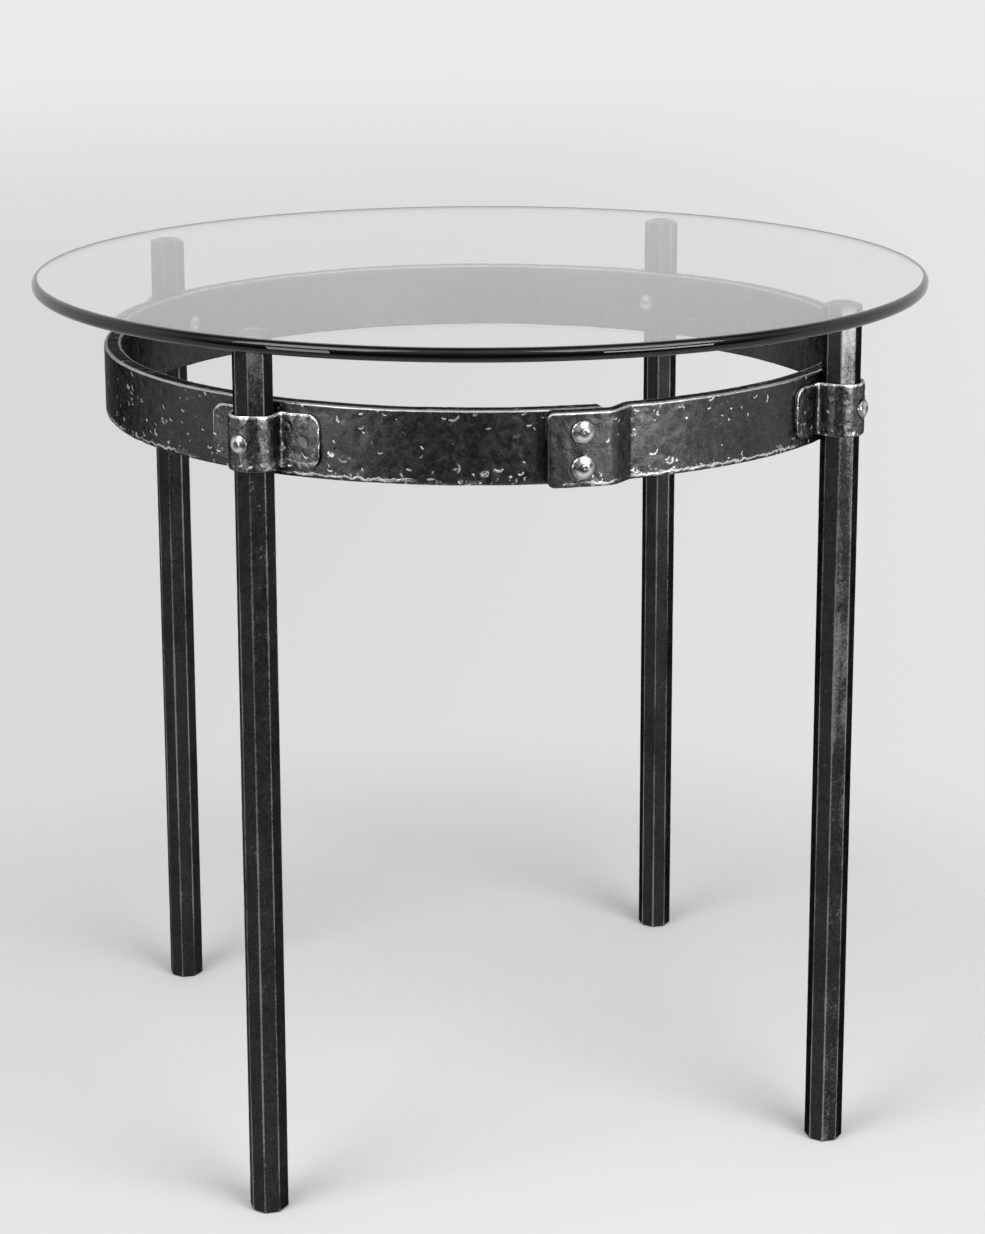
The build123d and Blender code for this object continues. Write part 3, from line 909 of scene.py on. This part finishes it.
class END_TABLE_OT_leg_rivets(Operator):
    """Make the rivets that run through strap, leg and ring"""

    bl_idname = "end_table.leg_rivets"
    bl_label = "Leg rivets"

    def execute(self, context):
        table = context.scene.end_table
        settings, gap = table.rivets, table.straps.clearance
        radius = settings.leg_head / 2
        barrel = table.legs.flats / 2 / math.cos(SIDE_TURN / 2) + gap + table.straps.thickness
        rivet = Rivet(table, LEG_RADIUS + barrel, radius, settings.leg_dome, 22)
        drop = sag(barrel + gap, radius * np.cos(RIVET_TURN)) - gap
        for number, (place, angle) in enumerate(LEG_ANGLES.items()):
            moved = rivet.pressed(70 + number, 80 + number)
            for row, share in zip(range(22, 26), (0.25, 0.6, 0.88, 1.0)):
                moved[row] -= drop * share
            moved[26] -= sag(barrel, settings.shank / 2 * np.cos(RIVET_TURN)) - gap
            rivet.place(f"leg_rivet_{place}", moved, angle, RING_MIDDLE)
        return {"FINISHED"}


class END_TABLE_OT_lap_rivets(Operator):
    """Make the two rivets in the ring's lap"""

    bl_idname = "end_table.lap_rivets"
    bl_label = "Lap rivets"

    def execute(self, context):
        table = context.scene.end_table
        ring, settings, radius = table.ring, table.rivets, table.rivets.lap_head / 2
        seat = ring.diameter / 2 + ring.lap_gap + ring.thickness + table.straps.clearance
        rivet = Rivet(table, seat, radius, settings.lap_dome, 24)
        upper = (lap_rivet_low.z + lap_rivet_high.z) / 2
        heights = {"upper": upper, "lower": lap_rivet_below.z + radius}
        for number, (place, height) in enumerate(heights.items()):
            rivet.place(f"lap_rivet_{place}", rivet.pressed(90 + number, 96 + number), LAP_ANGLE, height)
        return {"FINISHED"}


def disc_surface(radius, bottom, top, edge_round, columns):
    """A flat disc as a half outline turned round Z: the bottom face, a quarter circle, the upright edge, a
    quarter circle and the top face. The middle of each face is closed by a small round of points."""
    turns = np.linspace(0, np.pi / 2, 7)
    reach = radius - edge_round
    flat = reach * np.array([0.02, 0.35, 0.7, 0.93, 0.995])
    upright = np.linspace(bottom + edge_round, top - edge_round, 6)[1:-1]
    profile = np.concatenate([
        np.column_stack([flat, np.full(len(flat), bottom)]),
        np.column_stack([reach + edge_round * np.sin(turns), bottom + edge_round * (1 - np.cos(turns))]),
        np.column_stack([np.full(len(upright), radius), upright]),
        np.column_stack([reach + edge_round * np.cos(turns), top - edge_round * (1 - np.sin(turns))]),
        np.column_stack([flat[::-1], np.full(len(flat), top)]),
    ])
    turn = whole_turn(columns)
    level = np.repeat(profile[:, 1:], columns, axis=1)
    return np.stack([profile[:, :1] * np.cos(turn), profile[:, :1] * np.sin(turn), level], axis=-1)


class END_TABLE_OT_glass(Operator):
    """Make the round glass top"""

    bl_idname = "end_table.glass"
    bl_label = "Glass top"

    def execute(self, context):
        settings = context.scene.end_table.glass
        points = disc_surface(settings.diameter / 2, glass_low.z, glass_low.z + settings.thickness,
                              settings.edge_round, 512)
        finish = clear_finish("clear_glass", 0.0, 1.5, settings.body, 16.0)
        # Painted shade: the edge's tint lets almost nothing through, so the polished edge reads nearly black.
        edge_finish_painted_dark = clear_finish("polished_glass_edge_painted_dark", 0.0, 1.5, settings.body, 70.0, shine=0.75,
                                   tint=0.01)
        pane = add_surface("glass_top", "polished", points, "top", "glass", finish)
        pane.data.materials.append(edge_finish_painted_dark)
        middles = np.zeros(len(pane.data.polygons) * 3)
        pane.data.polygons.foreach_get("center", middles)
        reach = np.hypot(middles[0::3], middles[1::3])
        on_edge = (reach > settings.diameter / 2 - settings.edge_round).astype(np.int32)
        pane.data.polygons.foreach_set("material_index", on_edge)
        return {"FINISHED"}


class END_TABLE_OT_bumpers(Operator):
    """Make the clear discs between the legs and the glass"""

    bl_idname = "end_table.bumpers"
    bl_label = "Bumpers"

    def execute(self, context):
        settings = context.scene.end_table.glass
        finish = clear_finish("clear_vinyl", 0.25, 1.45, ripple=0.00005, milk=0.05)
        radius, thickness = settings.bumper_diameter / 2, settings.bumper_thickness
        disc = disc_surface(radius, bumper_low.z, bumper_low.z + thickness, thickness / 3, 64)
        for place, middle in LEG_MIDDLES.items():
            add_surface(f"bumper_{place}", "clear", disc + middle, "frame", "clear_vinyl", finish)
        return {"FINISHED"}


# Stage

# The camera that was fitted to the photo, in metres, radians and pixels, and the table's turn in degrees.
CAMERA_PLACE = (0.0, -2.01213, 0.94746)
CAMERA_PITCH, CAMERA_YAW = 0.2073, 0.0163
TABLE_TURN = -13.99
FOCAL_PIXELS = 2732.9
AXIS_PIXEL = (525.23, 399.0)
SENSOR_WIDTH = 36.0
FLOOR_RINGS = (1.0, 0.6, 0.3, 0.15, 0.07, 0.02)
LAMP_TARGET = (0.0, 0.0, 0.6)
STRIP_HEIGHT = 0.5
LEFT_STRIP_SHARE = 0.3


def add_floor(settings):
    """Adds a round floor as rings of quads."""
    turn = whole_turn(128)
    rings = settings.floor_radius * np.array(FLOOR_RINGS)[:, None]
    x, y = rings * np.cos(turn), rings * np.sin(turn)
    index = np.arange(x.size).reshape(x.shape)
    after = np.roll(index, -1, axis=1)
    quads = np.stack([index[:-1], after[:-1], after[1:], index[1:]], axis=-1).reshape(-1, 4)
    corners = np.stack([x, y, x * 0], axis=-1).reshape(-1, 3)
    mesh = bpy.data.meshes.new("studio_floor")
    mesh.from_pydata(corners.tolist(), [], quads.tolist() + [index[-1].tolist()])
    mesh.materials.append(studio_paper(settings))
    floor = bpy.data.objects.new("studio_floor", mesh)
    bpy.context.scene.collection.objects.link(floor)


def add_lamps(settings):
    """Adds a wide soft lamp high on each side and a low strip under each, which only light and reflections
    show."""
    tall = settings.lamp_height
    lamps = (
        ("left_lamp", (-1.44, -0.9, 1.95), (1.3, tall), settings.left_power),
        ("right_lamp", (0.81, -1.66, 2.0), (1.6, tall), settings.right_power),
        ("left_strip", (-1.56, -1.09, 0.55), (0.5, STRIP_HEIGHT), settings.strip_power * LEFT_STRIP_SHARE),
        ("right_strip", (0.84, -1.73, 0.6), (0.9, STRIP_HEIGHT), settings.strip_power),
    )
    for name, place, size, power in lamps:
        lamp = bpy.data.lights.new(name, "AREA")
        lamp.shape = "RECTANGLE"
        lamp.size, lamp.size_y = size
        lamp.energy = power
        holder = bpy.data.objects.new(name, lamp)
        holder.visible_camera = False
        holder.visible_transmission = False
        holder.location = place
        holder.rotation_euler = (Vector(LAMP_TARGET) - Vector(place)).to_track_quat("-Z", "Y").to_euler()
        bpy.context.scene.collection.objects.link(holder)


def add_camera(scene):
    """Adds the photo's camera: pitched down, turned a little to the right, with its lens shifted."""
    lens = bpy.data.cameras.new("photo_camera")
    lens.sensor_fit = "AUTO"
    lens.sensor_width = SENSOR_WIDTH
    lens.lens = FOCAL_PIXELS / IMAGE_HEIGHT * SENSOR_WIDTH
    lens.shift_x = (IMAGE_WIDTH / 2 - AXIS_PIXEL[0]) / IMAGE_HEIGHT
    lens.shift_y = (AXIS_PIXEL[1] - IMAGE_HEIGHT / 2) / IMAGE_HEIGHT
    lens.clip_start, lens.clip_end = 0.05, 60.0
    camera = bpy.data.objects.new("photo_camera", lens)
    scene.collection.objects.link(camera)
    level = math.cos(CAMERA_PITCH)
    ahead = Vector((math.sin(CAMERA_YAW) * level, math.cos(CAMERA_YAW) * level, -math.sin(CAMERA_PITCH)))
    right = Vector((math.cos(CAMERA_YAW), -math.sin(CAMERA_YAW), 0.0))
    axes = Matrix((right, right.cross(ahead), -ahead)).transposed()
    spin = Matrix.Rotation(math.radians(TABLE_TURN), 3, "Z")
    camera.matrix_world = Matrix.Translation(spin @ Vector(CAMERA_PLACE)) @ (spin @ axes).to_4x4()
    scene.camera = camera


class END_TABLE_OT_stage(Operator):
    """Make the floor, lamps, backdrop and camera"""

    bl_idname = "end_table.stage"
    bl_label = "Stage"

    def execute(self, context):
        settings = context.scene.end_table.stage
        add_floor(settings)
        build_world(settings)
        add_lamps(settings)
        add_camera(context.scene)
        context.scene.view_settings.view_transform = "Standard"
        return {"FINISHED"}


class END_TABLE_PT_panel(Panel):
    """Lists the table's operators and sizes in the sidebar"""

    bl_label = "End table"
    bl_idname = "END_TABLE_PT_panel"
    bl_space_type = "VIEW_3D"
    bl_region_type = "UI"
    bl_category = "End table"

    def draw(self, context):
        table = context.scene.end_table
        for group, operators in GROUPS:
            box = self.layout.box()
            for operator in operators:
                box.operator(operator)
            settings = getattr(table, group)
            for key in settings.__annotations__:
                box.prop(settings, key, text=key.replace("_", " ").capitalize())


GROUPS = (
    ("legs", ("end_table.legs",)),
    ("ring", ("end_table.ring",)),
    ("straps", ("end_table.straps",)),
    ("rivets", ("end_table.leg_rivets", "end_table.lap_rivets")),
    ("glass", ("end_table.glass", "end_table.bumpers")),
    ("stage", ("end_table.stage",)),
)

CLASSES = (
    LegSettings, RingSettings, StrapSettings, RivetSettings, GlassSettings, StageSettings, TableSettings,
    END_TABLE_OT_legs, END_TABLE_OT_ring, END_TABLE_OT_straps, END_TABLE_OT_leg_rivets,
    END_TABLE_OT_lap_rivets, END_TABLE_OT_glass, END_TABLE_OT_bumpers, END_TABLE_OT_stage,
    END_TABLE_PT_panel,
)


def register():
    for part in CLASSES:
        bpy.utils.register_class(part)
    bpy.types.Scene.end_table = PointerProperty(type=TableSettings)


def unregister():
    del bpy.types.Scene.end_table
    for part in reversed(CLASSES):
        bpy.utils.unregister_class(part)


def main():
    """Makes every piece in order."""
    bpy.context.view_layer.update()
    register()
    for group, operators in GROUPS:
        for operator in operators:
            family, name = operator.split(".")
            getattr(getattr(bpy.ops, family), name)()


if __name__ == "__main__":
    main()
